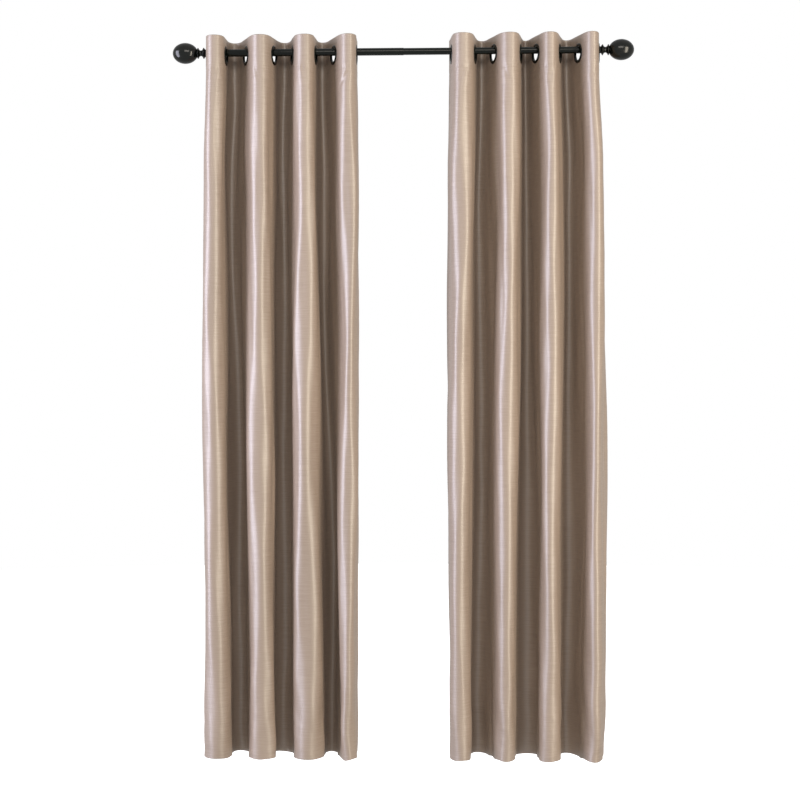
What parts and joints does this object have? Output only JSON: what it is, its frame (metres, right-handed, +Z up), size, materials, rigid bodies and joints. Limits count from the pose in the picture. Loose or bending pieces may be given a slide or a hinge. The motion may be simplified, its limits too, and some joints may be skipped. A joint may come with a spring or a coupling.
{
  "type": "window curtains on a rod",
  "caption": "Eyelet window curtains, a pair of pleated satin panels on a telescoping black rod with egg finials, lying in wall brackets.",
  "frame": {"origin": "on the wall plane, midway between the two brackets, at the height of the rod's axis", "axes": "+X along the rod, +Y into the wall, +Z up; the room side is -Y"},
  "size_m": [1.3704, 0.1841, 2.134],
  "materials": {
    "curtain_cloth": "satin taupe faux silk with fine slubs across",
    "header_tape": "stiff matt woven heading tape",
    "eyelet_ring": "glossy black lacquer",
    "rod_paint": "glossy black powder coat",
    "finial_gloss": "high gloss black",
    "bracket_paint": "black paint",
    "screw_steel": "zinc plated",
    "black_nylon": "matt black nylon"
  },
  "bodies": {
    "brackets": {"left_wall_plate": "bracket_paint", "left_arm": "bracket_paint", "left_cradle": "bracket_paint", "left_upper_wall_screw": "screw_steel", "left_lower_wall_screw": "screw_steel", "right_wall_plate": "bracket_paint", "right_arm": "bracket_paint", "right_cradle": "bracket_paint", "right_upper_wall_screw": "screw_steel", "right_lower_wall_screw": "screw_steel"},
    "left_thumb_screw": {"left_thumb_screw": "bracket_paint"},
    "right_thumb_screw": {"right_thumb_screw": "bracket_paint"},
    "rod": {"outer_tube": "rod_paint", "left_rod_end_sleeve": "black_nylon", "left_ring_1_face": "eyelet_ring", "left_ring_1_back": "eyelet_ring", "right_ring_1_face": "eyelet_ring", "right_ring_1_back": "eyelet_ring"},
    "inner_rod": {"inner_tube": "rod_paint", "inner_tube_glide": "black_nylon", "right_rod_end_sleeve": "black_nylon"},
    "left_finial": {"left_finial_ball": "finial_gloss", "left_finial_neck": "finial_gloss", "left_finial_pin": "screw_steel"},
    "left_ring_2": {"left_ring_2_face": "eyelet_ring", "left_ring_2_back": "eyelet_ring"},
    "left_ring_3": {"left_ring_3_face": "eyelet_ring", "left_ring_3_back": "eyelet_ring"},
    "left_ring_4": {"left_ring_4_face": "eyelet_ring", "left_ring_4_back": "eyelet_ring"},
    "left_ring_5": {"left_ring_5_face": "eyelet_ring", "left_ring_5_back": "eyelet_ring"},
    "left_ring_6": {"left_ring_6_face": "eyelet_ring", "left_ring_6_back": "eyelet_ring"},
    "left_ring_7": {"left_ring_7_face": "eyelet_ring", "left_ring_7_back": "eyelet_ring"},
    "left_panel": {"left_ring_8_face": "eyelet_ring", "left_ring_8_back": "eyelet_ring", "left_panel_cloth": "curtain_cloth", "left_header_tape": "header_tape"},
    "right_finial": {"right_finial_ball": "finial_gloss", "right_finial_neck": "finial_gloss", "right_finial_pin": "screw_steel"},
    "right_ring_2": {"right_ring_2_face": "eyelet_ring", "right_ring_2_back": "eyelet_ring"},
    "right_ring_3": {"right_ring_3_face": "eyelet_ring", "right_ring_3_back": "eyelet_ring"},
    "right_ring_4": {"right_ring_4_face": "eyelet_ring", "right_ring_4_back": "eyelet_ring"},
    "right_ring_5": {"right_ring_5_face": "eyelet_ring", "right_ring_5_back": "eyelet_ring"},
    "right_ring_6": {"right_ring_6_face": "eyelet_ring", "right_ring_6_back": "eyelet_ring"},
    "right_ring_7": {"right_ring_7_face": "eyelet_ring", "right_ring_7_back": "eyelet_ring"},
    "right_panel": {"right_ring_8_face": "eyelet_ring", "right_ring_8_back": "eyelet_ring", "right_panel_cloth": "curtain_cloth", "right_header_tape": "header_tape"}
  },
  "joints": [
    {"name": "rod_lift", "type": "slide", "parent": "brackets", "child": "rod", "axis": [0, 0, 1], "range_m": [0, 0.04]},
    {"name": "rod_telescope", "type": "slide", "parent": "rod", "child": "inner_rod", "axis": [1, 0, 0], "range_m": [0, 0.043]},
    {"name": "left_finial_pull", "type": "slide", "parent": "rod", "child": "left_finial", "axis": [-1, 0, 0], "range_m": [0, 0.035]},
    {"name": "right_finial_pull", "type": "slide", "parent": "inner_rod", "child": "right_finial", "axis": [1, 0, 0], "range_m": [0, 0.035]},
    {"name": "left_thumb_turn", "type": "hinge", "parent": "brackets", "child": "left_thumb_screw", "pos_m": [-0.549, -0.11, 0], "axis": [0, -1, 0], "range_deg": [0, 720]},
    {"name": "right_thumb_turn", "type": "hinge", "parent": "brackets", "child": "right_thumb_screw", "pos_m": [0.549, -0.11, 0], "axis": [0, -1, 0], "range_deg": [0, 720]},
    {"name": "left_draw", "type": "slide", "parent": "rod", "child": "left_panel", "axis": [1, 0, 0], "range_m": [-0.14, 0.13], "deforming": ["left_panel_cloth", "left_header_tape"]},
    {"name": "left_ring_2_slide", "type": "slide", "parent": "rod", "child": "left_ring_2", "axis": [1, 0, 0], "range_m": [-0.0048, 0.0046]},
    {"name": "left_ring_3_slide", "type": "slide", "parent": "rod", "child": "left_ring_3", "axis": [1, 0, 0], "range_m": [-0.0259, 0.0242]},
    {"name": "left_ring_4_slide", "type": "slide", "parent": "rod", "child": "left_ring_4", "axis": [1, 0, 0], "range_m": [-0.0555, 0.0516]},
    {"name": "left_ring_5_slide", "type": "slide", "parent": "rod", "child": "left_ring_5", "axis": [1, 0, 0], "range_m": [-0.0748, 0.0696]},
    {"name": "left_ring_6_slide", "type": "slide", "parent": "rod", "child": "left_ring_6", "axis": [1, 0, 0], "range_m": [-0.0991, 0.0921]},
    {"name": "left_ring_7_slide", "type": "slide", "parent": "rod", "child": "left_ring_7", "axis": [1, 0, 0], "range_m": [-0.1181, 0.1098]},
    {"name": "right_draw", "type": "slide", "parent": "rod", "child": "right_panel", "axis": [-1, 0, 0], "range_m": [-0.14, 0.13], "deforming": ["right_panel_cloth", "right_header_tape"]},
    {"name": "right_ring_2_slide", "type": "slide", "parent": "rod", "child": "right_ring_2", "axis": [-1, 0, 0], "range_m": [-0.0048, 0.0046]},
    {"name": "right_ring_3_slide", "type": "slide", "parent": "rod", "child": "right_ring_3", "axis": [-1, 0, 0], "range_m": [-0.0246, 0.0229]},
    {"name": "right_ring_4_slide", "type": "slide", "parent": "rod", "child": "right_ring_4", "axis": [-1, 0, 0], "range_m": [-0.0505, 0.0471]},
    {"name": "right_ring_5_slide", "type": "slide", "parent": "rod", "child": "right_ring_5", "axis": [-1, 0, 0], "range_m": [-0.067, 0.0624]},
    {"name": "right_ring_6_slide", "type": "slide", "parent": "rod", "child": "right_ring_6", "axis": [-1, 0, 0], "range_m": [-0.0963, 0.0895]},
    {"name": "right_ring_7_slide", "type": "slide", "parent": "rod", "child": "right_ring_7", "axis": [-1, 0, 0], "range_m": [-0.1164, 0.1082]}
  ],
  "couplings": [
    {"joint": "left_ring_2_slide", "follows": "left_draw", "ratio": 0.02},
    {"joint": "left_ring_3_slide", "follows": "left_draw", "ratio": 0.1708},
    {"joint": "left_ring_4_slide", "follows": "left_draw", "ratio": 0.3818},
    {"joint": "left_ring_5_slide", "follows": "left_draw", "ratio": 0.5201},
    {"joint": "left_ring_6_slide", "follows": "left_draw", "ratio": 0.6934},
    {"joint": "left_ring_7_slide", "follows": "left_draw", "ratio": 0.8291},
    {"joint": "right_ring_2_slide", "follows": "right_draw", "ratio": 0.02},
    {"joint": "right_ring_3_slide", "follows": "right_draw", "ratio": 0.1611},
    {"joint": "right_ring_4_slide", "follows": "right_draw", "ratio": 0.3467},
    {"joint": "right_ring_5_slide", "follows": "right_draw", "ratio": 0.4643},
    {"joint": "right_ring_6_slide", "follows": "right_draw", "ratio": 0.6733},
    {"joint": "right_ring_7_slide", "follows": "right_draw", "ratio": 0.8171}
  ]
}
